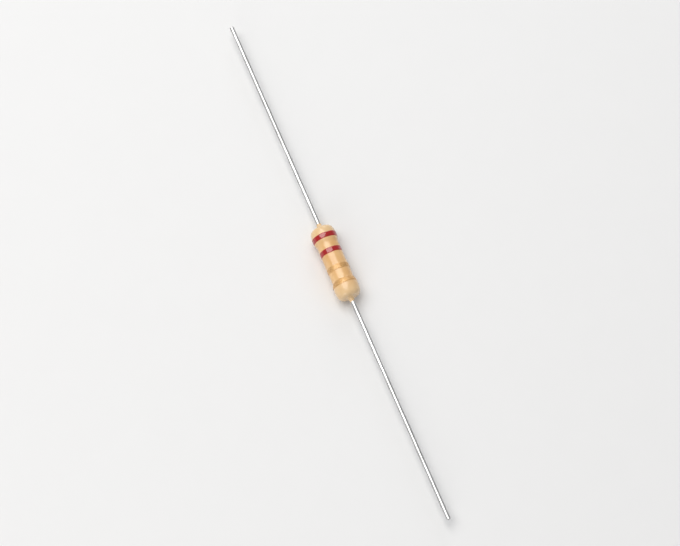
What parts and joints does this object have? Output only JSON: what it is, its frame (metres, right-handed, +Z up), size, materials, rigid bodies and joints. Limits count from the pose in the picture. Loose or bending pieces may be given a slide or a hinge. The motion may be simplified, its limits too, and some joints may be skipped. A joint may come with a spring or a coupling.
{
  "type": "axial resistor",
  "caption": "Axial carbon-film resistor: glossy tan dog-bone body with narrow red and gold bands, spiral-cut film on a ceramic rod, pressed end caps and long straight tinned leads.",
  "frame": {"origin": "centre of the lacquered body, midway between its ends, on the wire's axis", "axes": "+X along the leads, from the end with the red bands towards the end with the gold bands; +Z up, with the part lying level; +Y completes the right-handed frame"},
  "size_m": [0.0628, 0.003, 0.003],
  "materials": {
    "ceramic": "matte",
    "carbon": "satin",
    "cap_steel": "satin",
    "tinned_wire": "gloss",
    "lacquer": "gloss",
    "red_paint": "gloss",
    "gold_paint": "satin"
  },
  "bodies": {
    "root": {"ceramic_core": "ceramic", "carbon_film": "carbon", "cap_red_end": "cap_steel", "cap_gold_end": "cap_steel", "lead_red_end": "tinned_wire", "lead_gold_end": "tinned_wire", "lacquer_coat": "lacquer", "first_red_band": "red_paint", "second_red_band": "red_paint", "third_gold_band": "gold_paint", "fourth_gold_band": "gold_paint"}
  },
  "joints": []
}
